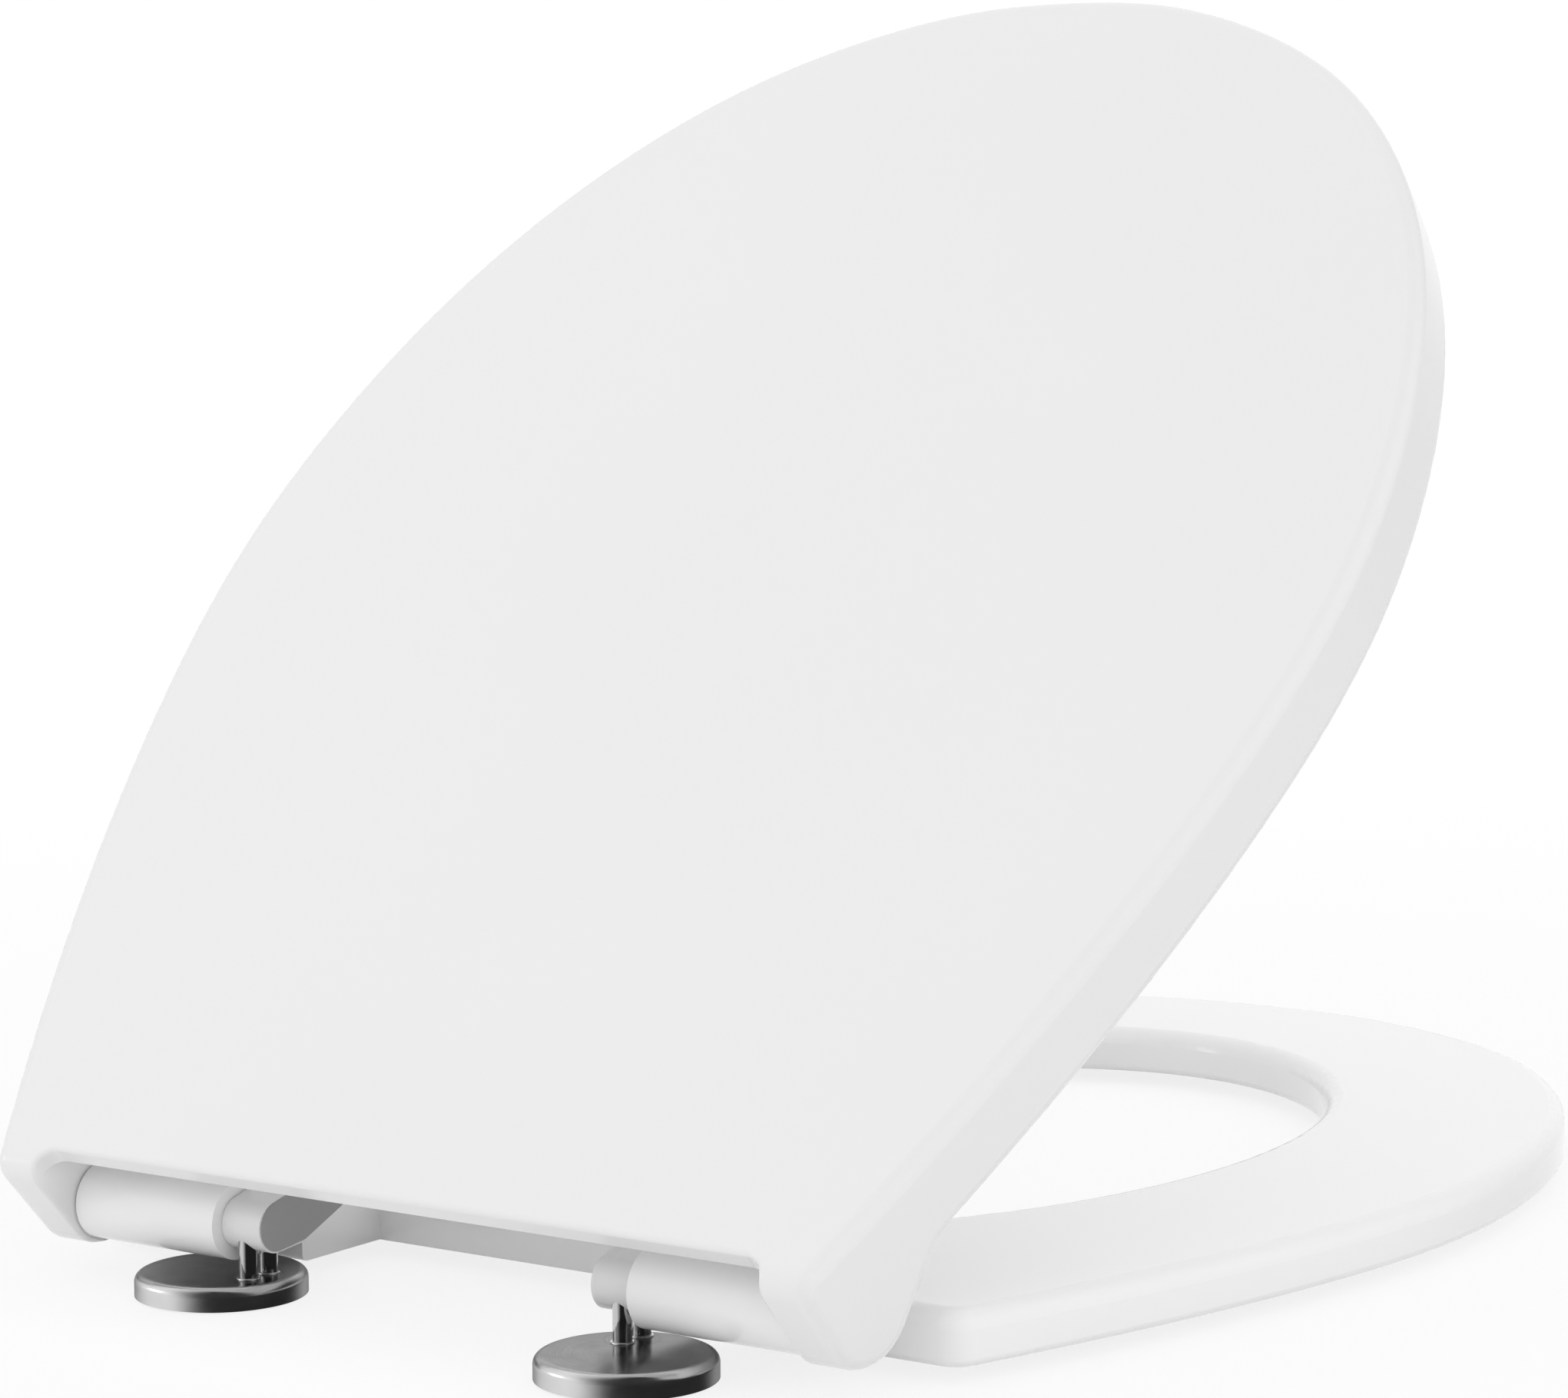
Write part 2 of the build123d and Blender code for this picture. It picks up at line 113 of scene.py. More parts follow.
class PlasticSettings(bpy.types.PropertyGroup):
    """Colours and gloss of the moulded pieces."""

    shell_tone: bpy.props.FloatVectorProperty(
        name="Lid and ring", description="Colour of the lid and the ring",
        subtype="COLOR", size=4, default=(0.86, 0.86, 0.86, 1.0), min=0.0, max=1.0)
    shell_roughness: bpy.props.FloatProperty(
        name="Lid gloss", description="Roughness of the polished lid and ring",
        subtype="FACTOR", default=0.16, min=0.0, max=1.0)
    hinge_tone: bpy.props.FloatVectorProperty(
        name="Hinge bodies", description="Colour of the hinge bodies",
        subtype="COLOR", size=4, default=(0.80, 0.80, 0.80, 1.0), min=0.0, max=1.0)
    # Grey of the thin sheets that make the inner ends of the hinge bodies read dark
    dark_end_tone: bpy.props.FloatVectorProperty(
        name="End caps", description="Colour of the caps on the inner ends of the hinge bodies",
        subtype="COLOR", size=4, default=(0.33, 0.33, 0.33, 1.0), min=0.0, max=1.0)
    dark_end_inset: bpy.props.FloatProperty(
        name="Cap inset", description="Rim of the hinge body left round each end cap",
        subtype="DISTANCE", default=0.0006, min=0.0, max=0.003)
    dark_end_height: bpy.props.FloatProperty(
        name="Cap height", description="How far an end cap stands off the hinge body",
        subtype="DISTANCE", default=0.0003, min=0.0001, max=0.001)
    damper_tone: bpy.props.FloatVectorProperty(
        name="Dampers", description="Colour of the hidden damper pieces",
        subtype="COLOR", size=4, default=(0.36, 0.37, 0.38, 1.0), min=0.0, max=1.0)
    insert_tone: bpy.props.FloatVectorProperty(
        name="Inserts", description="Colour of the threaded inserts under the discs",
        subtype="COLOR", size=4, default=(0.09, 0.09, 0.095, 1.0), min=0.0, max=1.0)
    rubber_tone: bpy.props.FloatVectorProperty(
        name="Bumpers", description="Colour of the bumpers and feet",
        subtype="COLOR", size=4, default=(0.62, 0.62, 0.60, 1.0), min=0.0, max=1.0)
    pad_tone: bpy.props.FloatVectorProperty(
        name="Pads", description="Colour of the pads under the discs",
        subtype="COLOR", size=4, default=(0.26, 0.26, 0.26, 1.0), min=0.0, max=1.0)


class MetalSettings(bpy.types.PropertyGroup):
    """Colours and finish of the steel pieces."""

    disc_tone: bpy.props.FloatVectorProperty(
        name="Discs", description="Colour of the brushed discs",
        subtype="COLOR", size=4, default=(0.7, 0.7, 0.7, 1.0), min=0.0, max=1.0)
    disc_roughness: bpy.props.FloatProperty(
        name="Disc brushing", description="Roughness of the brushed discs",
        subtype="FACTOR", default=0.2, min=0.0, max=1.0)
    edge_tone: bpy.props.FloatProperty(
        name="Disc edge", description="Brightness of the discs at low angles",
        subtype="FACTOR", default=0.3, min=0.0, max=1.0)
    pin_tone: bpy.props.FloatVectorProperty(
        name="Pins", description="Colour of the polished pins",
        subtype="COLOR", size=4, default=(0.58, 0.58, 0.58, 1.0), min=0.0, max=1.0)
    pin_roughness: bpy.props.FloatProperty(
        name="Pin polish", description="Roughness of the polished pins",
        subtype="FACTOR", default=0.08, min=0.0, max=1.0)
    ring_pitch: bpy.props.FloatProperty(
        name="Brush pitch", description="Distance between turned brush lines",
        subtype="DISTANCE", default=0.0004, min=0.0001, max=0.01)
    collar_radius: bpy.props.FloatProperty(
        name="Collar radius", description="Radius of the rolled collar at the foot of each pin",
        subtype="DISTANCE", default=0.0028, min=0.0026, max=0.0036)
    collar_thickness: bpy.props.FloatProperty(
        name="Collar thickness", description="Half the thickness of that collar",
        subtype="DISTANCE", default=0.0003, min=0.0001, max=0.001)


class StudioSettings(bpy.types.PropertyGroup):
    """Floor, light and camera."""

    floor_tone: bpy.props.FloatVectorProperty(
        name="Floor", description="Colour of the floor",
        subtype="COLOR", size=4, default=(0.94, 0.94, 0.94, 1.0), min=0.0, max=1.0)
    ambient: bpy.props.FloatProperty(
        name="Ambient", description="Strength of the light from all sides",
        default=0.96, min=0.0, max=2.0)
    fill: bpy.props.FloatProperty(
        name="Fill", description="How much stronger that light is on one side than on the other",
        default=0.2, min=0.0, max=1.0)
    dark_side: bpy.props.FloatProperty(
        name="Dark side", description="Brightness of the studio's dark side in reflections",
        subtype="FACTOR", default=0.02, min=0.0, max=1.0)
    lens: bpy.props.FloatProperty(
        name="Lens", description="Focal length of the camera",
        subtype="DISTANCE_CAMERA", default=97.5, min=20.0, max=300.0)


# Shader groups


FINISH_OUTPUTS = (("Color", "NodeSocketColor"), ("Roughness", "NodeSocketFloat"),
                  ("Height", "NodeSocketFloat"))


def new_group(name, inputs, outputs):
    """Empty shader group with named sockets, and its two end nodes."""
    tree = bpy.data.node_groups.new(name, "ShaderNodeTree")
    for socket, kind, default in inputs:
        entry = tree.interface.new_socket(socket, in_out="INPUT", socket_type=kind)
        entry.default_value = default
    for socket, kind in outputs:
        tree.interface.new_socket(socket, in_out="OUTPUT", socket_type=kind)
    return tree, tree.nodes.new("NodeGroupInput"), tree.nodes.new("NodeGroupOutput")


def wire(tree, *links):
    """Links given as (from node, socket, to node, socket)."""
    for source, out_socket, target, in_socket in links:
        tree.links.new(source.outputs[out_socket], target.inputs[in_socket])


def maths(tree, operation, second=None):
    """Math node, with a fixed second value where one is given."""
    node = tree.nodes.new("ShaderNodeMath")
    node.operation = operation
    if second is not None:
        node.inputs[1].default_value = second
    return node


def vectors(tree, operation, second=None):
    """Vector math node, with a fixed second vector where one is given."""
    node = tree.nodes.new("ShaderNodeVectorMath")
    node.operation = operation
    if second is not None:
        node.inputs[1].default_value = second
    return node


def noise(tree, detail, scale=None):
    """Noise node, of a fixed scale where one is given."""
    node = tree.nodes.new("ShaderNodeTexNoise")
    node.inputs["Detail"].default_value = detail
    if scale is not None:
        node.inputs["Scale"].default_value = scale
    return node


def ease(tree, reach, levels):
    """Node that eases from one level to the other over a reach."""
    node = tree.nodes.new("ShaderNodeMapRange")
    node.interpolation_type = "SMOOTHSTEP"
    for socket, value in zip(("From Min", "From Max", "To Min", "To Max"), reach + levels):
        node.inputs[socket].default_value = value
    return node


def moulded_finish():
    """Group: slow drift of colour and gloss, and the fine unevenness of a moulded skin."""
    tree, start, end = new_group(
        "moulded_finish",
        [("Tone", "NodeSocketColor", (0.8, 0.8, 0.8, 1.0)), ("Tone Drift", "NodeSocketFloat", 0.02),
         ("Roughness", "NodeSocketFloat", 0.2), ("Gloss Drift", "NodeSocketFloat", 0.04),
         ("Drift Scale", "NodeSocketFloat", 9.0), ("Skin Scale", "NodeSocketFloat", 420.0)],
        FINISH_OUTPUTS)
    place = tree.nodes.new("ShaderNodeTexCoord")
    drift, skin = noise(tree, detail=3.0), noise(tree, detail=2.0)
    centred = maths(tree, "SUBTRACT", second=0.5)
    tone_step, gloss_step = maths(tree, "MULTIPLY"), maths(tree, "MULTIPLY")
    gloss = maths(tree, "ADD")
    bright = maths(tree, "ADD", second=1.0)
    tinted = vectors(tree, "SCALE")
    wire(tree,
         (place, "Object", drift, "Vector"), (place, "Object", skin, "Vector"),
         (start, "Drift Scale", drift, "Scale"), (start, "Skin Scale", skin, "Scale"),
         (drift, "Fac", centred, 0),
         (centred, 0, tone_step, 0), (start, "Tone Drift", tone_step, 1),
         (tone_step, 0, bright, 0), (start, "Tone", tinted, 0), (bright, 0, tinted, "Scale"),
         (centred, 0, gloss_step, 0), (start, "Gloss Drift", gloss_step, 1),
         (gloss_step, 0, gloss, 0), (start, "Roughness", gloss, 1),
         (tinted, 0, end, "Color"), (gloss, 0, end, "Roughness"), (skin, "Fac", end, "Height"))
    return tree


def turned_finish():
    """Group: brush lines left by turning, round a centre or along a pin's height."""
    tree, start, end = new_group(
        "turned_finish",
        [("Tone", "NodeSocketColor", (0.6, 0.6, 0.6, 1.0)), ("Tone Change", "NodeSocketFloat", 0.1),
         ("Roughness", "NodeSocketFloat", 0.2), ("Roughness Change", "NodeSocketFloat", 0.1),
         ("Centre", "NodeSocketVector", (0.0, 0.0, 0.0)), ("Along Height", "NodeSocketFloat", 0.0),
         ("Lines per Metre", "NodeSocketFloat", 2500.0)],
        FINISH_OUTPUTS)
    place = tree.nodes.new("ShaderNodeTexCoord")
    offset, radius = vectors(tree, "SUBTRACT"), vectors(tree, "LENGTH")
    flat = vectors(tree, "MULTIPLY", (1.0, 1.0, 0.0))
    parts = tree.nodes.new("ShaderNodeSeparateXYZ")
    pick = tree.nodes.new("ShaderNodeMix")
    lines = noise(tree, detail=3.0, scale=1.0)
    lines.noise_dimensions = "1D"
    spread = maths(tree, "MULTIPLY")
    smudge = noise(tree, detail=3.0, scale=160.0)
    both = maths(tree, "ADD")
    centred = maths(tree, "SUBTRACT", second=1.0)
    tone_step, bright = maths(tree, "MULTIPLY"), maths(tree, "ADD", second=1.0)
    rough_step, rough = maths(tree, "MULTIPLY"), maths(tree, "ADD")
    tinted = vectors(tree, "SCALE")
    wire(tree,
         (place, "Object", offset, 0), (start, "Centre", offset, 1), (offset, 0, flat, 0),
         (flat, 0, radius, 0), (offset, 0, parts, 0), (start, "Along Height", pick, "Factor"),
         (radius, "Value", pick, "A"), (parts, "Z", pick, "B"), (pick, "Result", spread, 0),
         (start, "Lines per Metre", spread, 1), (spread, 0, lines, "W"),
         (place, "Object", smudge, "Vector"),
         (lines, "Fac", both, 0), (smudge, "Fac", both, 1), (both, 0, centred, 0),
         (centred, 0, tone_step, 0), (start, "Tone Change", tone_step, 1),
         (tone_step, 0, bright, 0), (start, "Tone", tinted, 0), (bright, 0, tinted, "Scale"),
         (centred, 0, rough_step, 0), (start, "Roughness Change", rough_step, 1),
         (rough_step, 0, rough, 0), (start, "Roughness", rough, 1),
         (tinted, 0, end, "Color"), (rough, 0, end, "Roughness"), (lines, "Fac", end, "Height"))
    return tree


# Materials


def finish_material(name, group, values, relief, depth, **fixed):
    """Material whose colour, roughness and bump come from a shared group."""
    material = bpy.data.materials.new(name)
    material.use_nodes = True
    tree = material.node_tree
    surface = tree.nodes["Principled BSDF"]
    for socket, value in fixed.items():
        surface.inputs[socket.replace("_", " ")].default_value = value
    finish = tree.nodes.new("ShaderNodeGroup")
    finish.node_tree = group
    for socket, value in values.items():
        finish.inputs[socket].default_value = value
    bump = tree.nodes.new("ShaderNodeBump")
    bump.inputs["Strength"].default_value = relief
    bump.inputs["Distance"].default_value = depth
    wire(tree,
         (finish, "Color", surface, "Base Color"), (finish, "Roughness", surface, "Roughness"),
         (finish, "Height", bump, "Height"), (bump, "Normal", surface, "Normal"))
    return material


def shared_group(name, maker):
    """The named shader group, made on first use."""
    return bpy.data.node_groups.get(name) or maker()


def moulded(name, tone, roughness, drift, gloss_drift, skin, relief):
    """Moulded plastic or rubber, with skin bumps per metre of some relief."""
    return finish_material(
        name, shared_group("moulded_finish", moulded_finish),
        {"Tone": tone, "Tone Drift": drift, "Roughness": roughness, "Gloss Drift": gloss_drift,
         "Skin Scale": skin}, relief, SKIN_DEPTH)


def turned(name, tone, roughness, centre, pitch, change, rough_change, along_height=0.0,
           spread=0.0, edge=1.0):
    """Turned or brushed steel, dimmed at low angles by edge, its highlights spread across lines."""
    material = finish_material(
        name, shared_group("turned_finish", turned_finish),
        {"Tone": tone, "Tone Change": change,
         "Roughness": roughness, "Roughness Change": rough_change,
         "Centre": centre, "Along Height": along_height, "Lines per Metre": 1.0 / pitch},
        BRUSH_RELIEF, BRUSH_DEPTH,
        Metallic=1.0, Anisotropic=spread, Specular_Tint=(edge, edge, edge, 1.0))
    if spread:
        tree = material.node_tree
        lines = tree.nodes.new("ShaderNodeTangent")
        lines.direction_type = "RADIAL"
        lines.axis = "Z"
        wire(tree, (lines, "Tangent", tree.nodes["Principled BSDF"], "Tangent"))
    return material


def dress(node, material):
    """Puts one material on a node."""
    mesh = NODES[node].data
    mesh.materials.clear()
    mesh.materials.append(material)


# Repeated pieces


def collar_tree():
    """Geometry nodes: a rolled collar on each point."""
    tree = bpy.data.node_groups.new("pin_collars", "GeometryNodeTree")
    for socket, kind in (("Points", "NodeSocketGeometry"), ("Radius", "NodeSocketFloat"),
                         ("Thickness", "NodeSocketFloat"), ("Finish", "NodeSocketMaterial")):
        tree.interface.new_socket(socket, in_out="INPUT", socket_type=kind)
    tree.interface.new_socket("Collars", in_out="OUTPUT", socket_type="NodeSocketGeometry")
    start, end = tree.nodes.new("NodeGroupInput"), tree.nodes.new("NodeGroupOutput")
    points = tree.nodes.new("GeometryNodeMeshToPoints")
    path, section = (tree.nodes.new("GeometryNodeCurvePrimitiveCircle") for _ in range(2))
    path.inputs["Resolution"].default_value = COLLAR_STEPS
    section.inputs["Resolution"].default_value = ROLL_STEPS
    roll = tree.nodes.new("GeometryNodeCurveToMesh")
    place = tree.nodes.new("GeometryNodeInstanceOnPoints")
    real = tree.nodes.new("GeometryNodeRealizeInstances")
    finish = tree.nodes.new("GeometryNodeSetMaterial")
    wire(tree,
         (start, "Points", points, "Mesh"), (start, "Radius", path, "Radius"),
         (start, "Thickness", section, "Radius"), (path, "Curve", roll, "Curve"),
         (section, "Curve", roll, "Profile Curve"), (points, "Points", place, "Points"),
         (roll, "Mesh", place, "Instance"), (place, "Instances", real, "Geometry"),
         (real, "Geometry", finish, "Geometry"), (start, "Finish", finish, "Material"),
         (finish, "Geometry", end, "Collars"))
    return tree


def from_points(name, points, tree, values):
    """Piece that a geometry node tree makes on points, as a plain mesh."""
    mesh = bpy.data.meshes.new(f"{name}_points")
    mesh.from_pydata([tuple(point) for point in points], [], [])
    piece = put(name, mesh)
    maker = piece.modifiers.new(name, "NODES")
    maker.node_group = tree
    for item in tree.interface.items_tree:
        if item.in_out == "INPUT" and item.name in values:
            maker[item.identifier] = values[item.name]
    made = piece.evaluated_get(bpy.context.evaluated_depsgraph_get())
    solid = bpy.data.meshes.new_from_object(made)
    piece.modifiers.clear()
    piece.data = solid
    shape = bmesh.new()
    shape.from_mesh(solid)
    bmesh.ops.recalc_face_normals(shape, faces=shape.faces)
    for face in shape.faces:
        face.smooth = True
    shape.to_mesh(solid)
    shape.free()
    return piece


def rim_round(points):
    """Convex outline round points of a plane, in order."""
    ordered = sorted(points, key=tuple)
    chains = []
    for run in (ordered, ordered[::-1]):
        chain = []
        for point in run:
            while len(chain) > 1 and (chain[-1] - chain[-2]).cross(point - chain[-1]) <= 0.0:
                chain.pop()
            chain.append(point)
        chains.append(chain[:-1])
    return chains[0] + chains[1]


# Operators


class DressLid(bpy.types.Operator):
    """Finish the lid and its bumpers"""

    bl_idname = "bathroom.dress_lid"
    bl_label = "Finish lid"

    def execute(self, context):
        plastic = context.scene.seat_plastic
        gloss = moulded("white_gloss", plastic.shell_tone, plastic.shell_roughness,
                        drift=0.02, gloss_drift=0.04, skin=420.0, relief=0.02)
        dress("lid", gloss)
        soft = moulded("bumper_rubber", plastic.rubber_tone, roughness=0.55,
                       drift=0.06, gloss_drift=0.1, skin=900.0, relief=0.15)
        for end in ENDS:
            for side in SIDES:
                dress(f"lid_bumper_{end}_{side}", soft)
        return {"FINISHED"}


class DressRing(bpy.types.Operator):
    """Finish the ring and its feet"""

    bl_idname = "bathroom.dress_ring"
    bl_label = "Finish ring"

    def execute(self, context):
        dress("seat_ring", bpy.data.materials["white_gloss"])
        soft = bpy.data.materials["bumper_rubber"]
        for end in ENDS:
            for side in SIDES:
                dress(f"ring_foot_{end}_{side}", soft)
        return {"FINISHED"}


class DressHinges(bpy.types.Operator):
    """Finish the hinge bodies and the dampers, and add dark grey sheets on their inner ends"""

    bl_idname = "bathroom.dress_hinges"
    bl_label = "Finish hinges"

    def end_cap(self, side, finish, plastic):
        """Thin dark grey sheet on the inner end of a hinge body, inside its rim, that makes that
        end read dark.
        """
        mesh = NODES[f"hinge_body_{side}"].data
        low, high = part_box(f"hinge_body_{side}")
        end_x = low.x if low.x > 0.0 else high.x
        towards = -1.0 if end_x > 0.0 else 1.0
        corners = {(round(vertex.co.y, END_DIGITS), round(vertex.co.z, END_DIGITS))
                   for vertex in mesh.vertices if abs(vertex.co.x - end_x) < END_TOLERANCE}
        rim = rim_round([Vector(corner) for corner in corners])
        centre = sum(rim, Vector((0.0, 0.0))) / len(rim)
        inner = [point + (centre - point).normalized() * plastic.dark_end_inset for point in rim]
        shape = bmesh.new()
        face = shape.faces.new([shape.verts.new((end_x, point.x, point.y)) for point in inner])
        raised = bmesh.ops.extrude_face_region(shape, geom=[face])["geom"]
        top = [item for item in raised if isinstance(item, bmesh.types.BMVert)]
        bmesh.ops.translate(shape, verts=top, vec=(towards * plastic.dark_end_height, 0.0, 0.0))
        bmesh.ops.recalc_face_normals(shape, faces=shape.faces)
        solid = bpy.data.meshes.new(f"end_cap_{side}")
        shape.to_mesh(solid)
        shape.free()
        solid.materials.append(finish)
        piece = put(f"end_cap_{side}", solid)
        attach(piece, "hinge_carrier")

    def execute(self, context):
        plastic = context.scene.seat_plastic
        satin = moulded("hinge_satin", plastic.hinge_tone, roughness=0.28,
                        drift=0.03, gloss_drift=0.06, skin=600.0, relief=0.04)
        # Dark grey for the sheets on the inner ends of the hinge bodies, which makes those ends
        # read dark
        dark_end_finish = moulded("dark_end_grey", plastic.dark_end_tone, roughness=0.4,
                      drift=0.06, gloss_drift=0.08, skin=700.0, relief=0.08)
        for side in SIDES:
            dress(f"hinge_body_{side}", satin)
            self.end_cap(side, dark_end_finish, plastic)
        grey = moulded("damper_grey", plastic.damper_tone, roughness=0.42,
                       drift=0.05, gloss_drift=0.08, skin=700.0, relief=0.08)
        for node in ("lid_damper_housing", "lid_damper_shaft", "ring_damper_housing",
                     "ring_damper_shaft", "lug_sleeve", "lid_pivot"):
            dress(node, grey)
        return {"FINISHED"}


class DressFittings(bpy.types.Operator):
    """Finish the discs, pins, inserts and pads"""

    bl_idname = "bathroom.dress_fittings"
    bl_label = "Finish fittings"

    def execute(self, context):
        plastic, metal = context.scene.seat_plastic, context.scene.seat_metal
        insert = moulded("insert_plastic", plastic.insert_tone, roughness=0.5,
                         drift=0.08, gloss_drift=0.08, skin=700.0, relief=0.1)
        pad = moulded("pad_rubber", plastic.pad_tone, roughness=0.6,
                      drift=0.08, gloss_drift=0.1, skin=900.0, relief=0.2)
        for side in SIDES:
            for steel, node in (("disc_steel", "base_disc"), ("plate_steel", "pin_plate")):
                brushed = turned(f"{steel}_{side}", metal.disc_tone, metal.disc_roughness,
                                 middle(f"{node}_{side}"), metal.ring_pitch, change=0.25,
                                 rough_change=0.12, spread=BRUSH_SPREAD, edge=metal.edge_tone)
                dress(f"{node}_{side}", brushed)
            dress(f"base_insert_{side}", insert)
            dress(f"base_pad_{side}", pad)
        polished = turned("pin_steel", metal.pin_tone, metal.pin_roughness, (0.0, 0.0, 0.0),
                          2 * metal.ring_pitch, change=0.08, rough_change=0.05, along_height=1.0)
        for side in SIDES:
            for end in ENDS:
                dress(f"pin_{side}_{end}", polished)
        return {"FINISHED"}


class AddCollars(bpy.types.Operator):
    """Add the rolled collars at the feet of the pins"""

    bl_idname = "bathroom.add_collars"
    bl_label = "Add pin collars"

    def execute(self, context):
        metal = context.scene.seat_metal
        feet = []
        for side in SIDES:
            for end in ENDS:
                foot = middle(f"pin_{side}_{end}")
                foot.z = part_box(f"pin_plate_{side}")[1].z + metal.collar_thickness / 2
                feet.append(foot)
        collars = from_points("pin_collars", feet, collar_tree(),
                              {"Radius": metal.collar_radius, "Thickness": metal.collar_thickness,
                               "Finish": bpy.data.materials["pin_steel"]})
        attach(collars, "pin_mounts")
        return {"FINISHED"}


class SetStudio(bpy.types.Operator):
    """Set the floor, the light and the camera"""

    bl_idname = "bathroom.set_studio"
    bl_label = "Set studio"

    def floor(self, settings):
        """Pale floor: near white to the camera with the shadow kept, clear to reflections."""
        mesh = bpy.data.meshes.new("studio_floor")
        shape = bmesh.new()
        bmesh.ops.create_circle(shape, cap_ends=True, segments=FLOOR_STEPS, radius=FLOOR_RADIUS)
        shape.to_mesh(mesh)
        shape.free()
        floor = put("studio_floor", mesh)
        floor.location.z = CAD_BOX[0][2] - FLOOR_DROP
        material = bpy.data.materials.new("studio_floor")
        material.use_nodes = True
        tree = material.node_tree
        surface = tree.nodes["Principled BSDF"]
        surface.inputs["Base Color"].default_value = settings.floor_tone
        surface.inputs["Roughness"].default_value = FLOOR_ROUGHNESS
        white = tree.nodes.new("ShaderNodeEmission")
        clear = tree.nodes.new("ShaderNodeBsdfTransparent")
        clear.inputs["Color"].default_value = settings.floor_tone
        blend, mirrored = (tree.nodes.new("ShaderNodeMixShader") for _ in range(2))
        path = tree.nodes.new("ShaderNodeLightPath")
        seen, share = maths(tree, "MAXIMUM"), maths(tree, "MULTIPLY")
        place = tree.nodes.new("ShaderNodeTexCoord")
        away = vectors(tree, "LENGTH")
        fade = ease(tree, SHADOW_REACH, SHADOW_WHITES)
        wire(tree,
             (place, "Object", away, 0), (away, "Value", fade, "Value"), (fade, "Result", share, 1),
             (path, "Is Camera Ray", seen, 0), (path, "Is Transmission Ray", seen, 1),
             (seen, 0, share, 0), (share, 0, blend, 0),
             (surface, 0, blend, 1), (white, 0, blend, 2),
             (path, "Is Glossy Ray", mirrored, 0), (blend, 0, mirrored, 1), (clear, 0, mirrored, 2),
             (mirrored, 0, tree.nodes["Material Output"], 0))
        mesh.materials.append(material)

    def sweep(self, tree, sky, towards, reach, levels):
        """White background whose strength changes from one side of the room to the other."""
        facing = vectors(tree, "DOT_PRODUCT", Vector(towards).normalized())
        level = ease(tree, reach, levels)
        light = tree.nodes.new("ShaderNodeBackground")
        light.inputs["Color"].default_value = WHITE
        wire(tree, (sky, "Generated", facing, 0), (facing, "Value", level, "Value"),
             (level, "Result", light, "Strength"))
        return light

    def world(self, settings):
        """White to the camera, even light on surfaces, white with one dark side in reflections."""
        world = bpy.data.worlds.new("studio")
        bpy.context.scene.world = world
        world.use_nodes = True
        tree = world.node_tree
        white = tree.nodes["Background"]
        white.inputs["Color"].default_value = WHITE
        sky = tree.nodes.new("ShaderNodeTexCoord")
        weak, strong = settings.ambient - settings.fill, settings.ambient + settings.fill
        ambient = self.sweep(tree, sky, FILL_SIDE, FILL_REACH, (weak, strong))
        room = self.sweep(tree, sky, WHITE_SIDE, WHITE_REACH, (settings.dark_side, 1.0))
        lit, shown = (tree.nodes.new("ShaderNodeMixShader") for _ in range(2))
        path = tree.nodes.new("ShaderNodeLightPath")
        seen = maths(tree, "MAXIMUM")
        wire(tree,
             (path, "Is Glossy Ray", lit, 0), (ambient, 0, lit, 1), (room, 0, lit, 2),
             (path, "Is Camera Ray", seen, 0), (path, "Is Transmission Ray", seen, 1),
             (seen, 0, shown, 0), (lit, 0, shown, 1), (white, 0, shown, 2),
             (shown, 0, tree.nodes["World Output"], 0))

    def lamp(self, name, place, aim, size, watts):
        """Soft square light turned towards a point."""
        light = bpy.data.lights.new(name, "AREA")
        light.size = size
        light.energy = watts
        lamp = put(name, light)
        lamp.location = place
        lamp.rotation_euler = (Vector(aim) - Vector(place)).to_track_quat("-Z", "Y").to_euler()

    def camera(self, settings):
        """Camera at the photograph's angle."""
        turn, rise, roll = (radians(angle) for angle in (CAMERA_TURN, CAMERA_RISE, CAMERA_ROLL))
        back = Vector((sin(turn) * cos(rise), -cos(turn) * cos(rise), sin(rise)))
        right = Vector((cos(turn), sin(turn), 0.0))
        up = back.cross(right)
        side = cos(roll) * right + sin(roll) * up
        top = -sin(roll) * right + cos(roll) * up
        lens = bpy.data.cameras.new("photo_camera")
        lens.lens = settings.lens
        lens.sensor_width = SENSOR_WIDTH
        lens.shift_x, lens.shift_y = CAMERA_SHIFT
        camera = put("photo_camera", lens)
        facing = Matrix((side, top, back)).transposed().to_4x4()
        camera.matrix_world = Matrix.Translation(CAMERA_PLACE) @ facing
        bpy.context.scene.camera = camera

    def execute(self, context):
        settings = context.scene.seat_studio
        context.scene.view_settings.view_transform = "Standard"
        self.floor(settings)
        self.world(settings)
        for lamp in LAMPS:
            self.lamp(*lamp)
        self.camera(settings)
        return {"FINISHED"}


class FinishPanel(bpy.types.Panel):
    """Buttons and settings of the finish"""

    bl_idname = "VIEW3D_PT_bathroom_finish"
    bl_label = "Toilet lid and ring"
    bl_space_type = "VIEW_3D"
    bl_region_type = "UI"
    bl_category = "Bathroom"

    def draw(self, context):
        scene = context.scene
        for step in STEPS:
            self.layout.operator(step.bl_idname)
        for settings in (scene.seat_plastic, scene.seat_metal, scene.seat_studio):
            box = self.layout.box()
            for name in settings.__annotations__:
                box.prop(settings, name)


STEPS = (DressLid, DressRing, DressHinges, DressFittings, AddCollars, SetStudio)
SETTINGS = (PlasticSettings, MetalSettings, StudioSettings)


def register():
    for kind in SETTINGS + STEPS + (FinishPanel,):
        bpy.utils.register_class(kind)
    bpy.types.Scene.seat_plastic = bpy.props.PointerProperty(type=PlasticSettings)
    bpy.types.Scene.seat_metal = bpy.props.PointerProperty(type=MetalSettings)
    bpy.types.Scene.seat_studio = bpy.props.PointerProperty(type=StudioSettings)


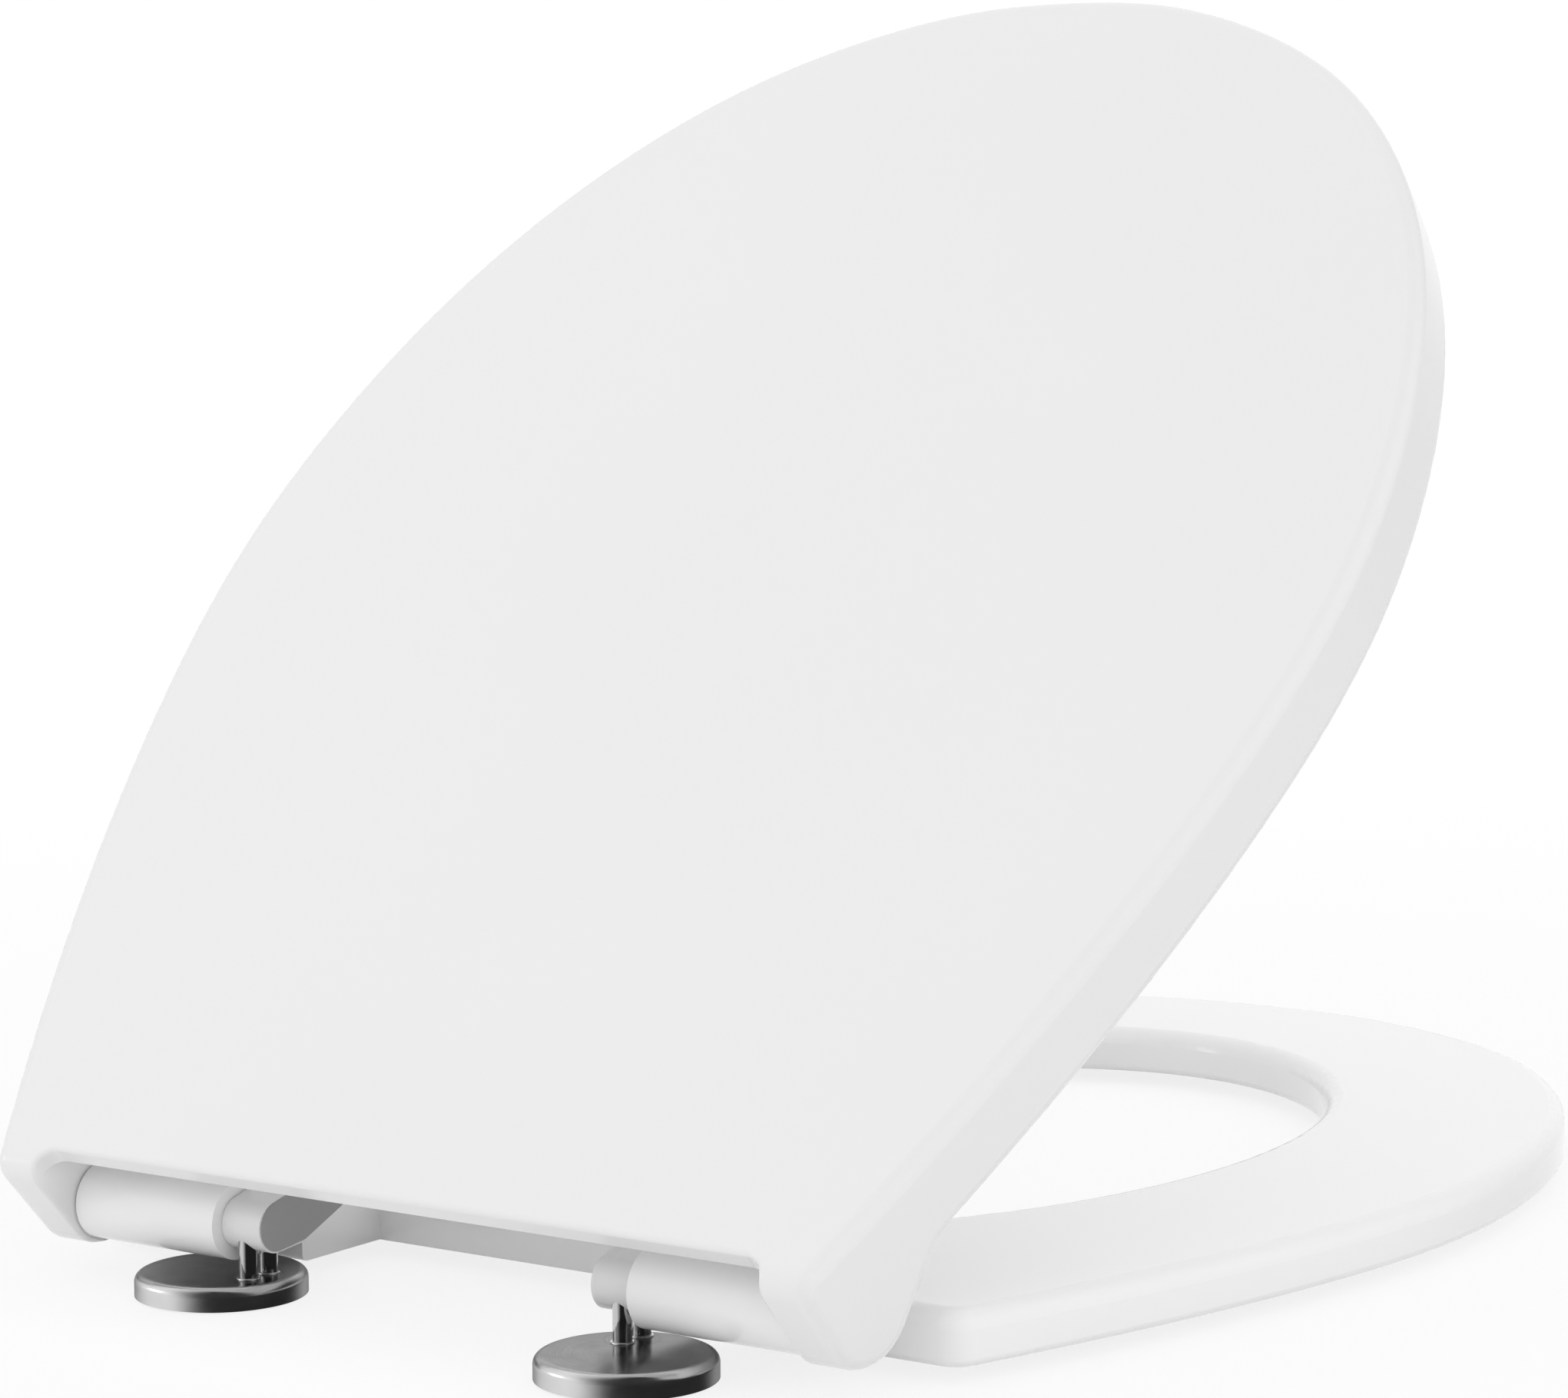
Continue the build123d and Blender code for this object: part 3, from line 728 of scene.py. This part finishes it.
def unregister():
    del bpy.types.Scene.seat_studio
    del bpy.types.Scene.seat_metal
    del bpy.types.Scene.seat_plastic
    for kind in reversed(SETTINGS + STEPS + (FinishPanel,)):
        bpy.utils.unregister_class(kind)


def main():
    register()
    bpy.ops.bathroom.dress_lid()
    bpy.ops.bathroom.dress_ring()
    bpy.ops.bathroom.dress_hinges()
    bpy.ops.bathroom.dress_fittings()
    bpy.ops.bathroom.add_collars()
    bpy.ops.bathroom.set_studio()


if __name__ == "__main__":
    main()
